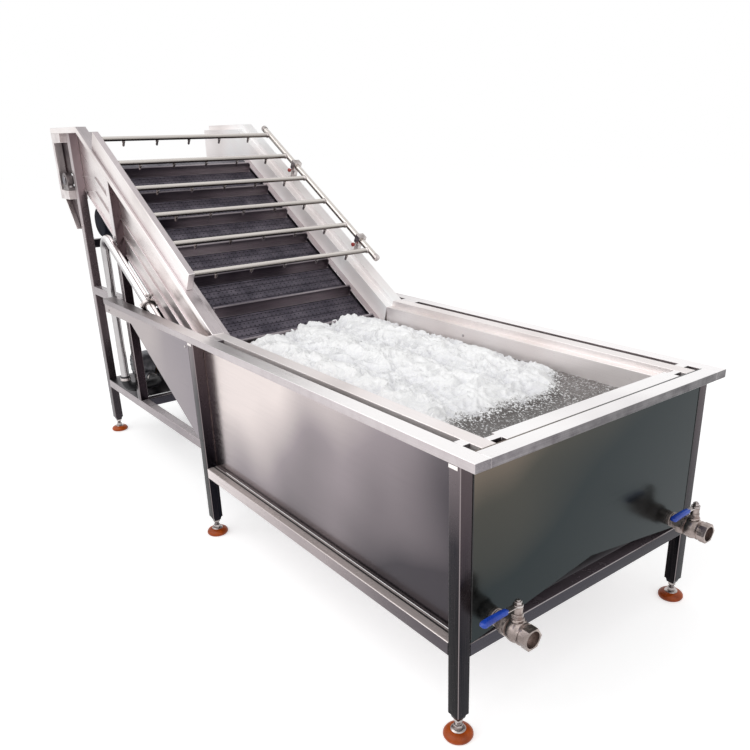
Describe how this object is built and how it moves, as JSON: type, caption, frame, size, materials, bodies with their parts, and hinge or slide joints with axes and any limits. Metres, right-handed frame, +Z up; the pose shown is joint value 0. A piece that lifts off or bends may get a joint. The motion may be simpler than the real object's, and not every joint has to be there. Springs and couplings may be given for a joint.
{
  "type": "bubble vegetable washing machine",
  "caption": "Stainless-steel bubble washer: water tank on square-tube legs, inclined flight belt that lifts produce out, spray pipes above it, blower and drain valves",
  "frame": {"origin": "on the floor, under the middle of the machine's length and width", "axes": "+X towards the drain end with the valves, +Z up, the near side faces -Y"},
  "size_m": [3.063, 1.0398, 1.51],
  "materials": {
    "stainless": "brushed stainless sheet",
    "tube_steel": "polished stainless square tube",
    "pipe_steel": "satin stainless round tube",
    "valve_steel": "cast and polished stainless",
    "bearing_steel": "cast stainless bearing housing",
    "chain_steel": "oiled steel chain",
    "belt": "dark wet steel link belt with sheet flights",
    "foot_pad": "orange-brown moulded foot",
    "motor_paint": "dark painted gearmotor",
    "blower_silver": "cast aluminium blower",
    "hose_rubber": "black rubber hose",
    "lever_vinyl": "blue vinyl-sleeved lever"
  },
  "bodies": {
    "machine": {"air_hose": "hose_rubber", "air_pipe": "pipe_steel", "belt": "belt", "belt_guides": "stainless", "blower": "blower_silver", "blower_shelf": "stainless", "drain_valve_far": "valve_steel", "drain_valve_near": "valve_steel", "drive_chain": "chain_steel", "elevator_posts": "tube_steel", "elevator_side_far": "stainless", "elevator_side_near": "stainless", "elevator_trough": "stainless", "front_legs": "tube_steel", "gearmotor": "motor_paint", "head_bearings": "bearing_steel", "head_frames": "stainless", "head_shaft": "stainless", "levelling_feet": "foot_pad", "manifold_brackets": "valve_steel", "middle_legs": "tube_steel", "pipe_clamp": "valve_steel", "rear_cross_rails": "tube_steel", "rear_legs": "tube_steel", "rear_side_rails": "tube_steel", "rim_end": "stainless", "rim_sides": "stainless", "side_covers": "stainless", "slot_bridges": "stainless", "spray_carrier": "stainless", "spray_manifold": "pipe_steel", "spray_pipes": "pipe_steel", "tail_shaft": "stainless", "tank_cross_rails": "tube_steel", "tank_end_wall": "stainless", "tank_floor": "stainless", "tank_inner_end": "stainless", "tank_inner_walls": "stainless", "tank_rear_slope": "stainless", "tank_side_rails": "tube_steel", "tank_side_walls": "stainless", "upper_side_rails": "tube_steel"},
    "near_lever": {"valve_lever_near": "lever_vinyl"},
    "far_lever": {"valve_lever_far": "lever_vinyl"}
  },
  "joints": [
    {"name": "near_valve_turn", "type": "hinge", "parent": "machine", "child": "near_lever", "pos_m": [1.47952, -0.382, 0.408], "axis": [0, 0, 1], "range_deg": [0, 90]},
    {"name": "far_valve_turn", "type": "hinge", "parent": "machine", "child": "far_lever", "pos_m": [1.47952, 0.382, 0.408], "axis": [0, 0, 1], "range_deg": [0, 90]}
  ]
}
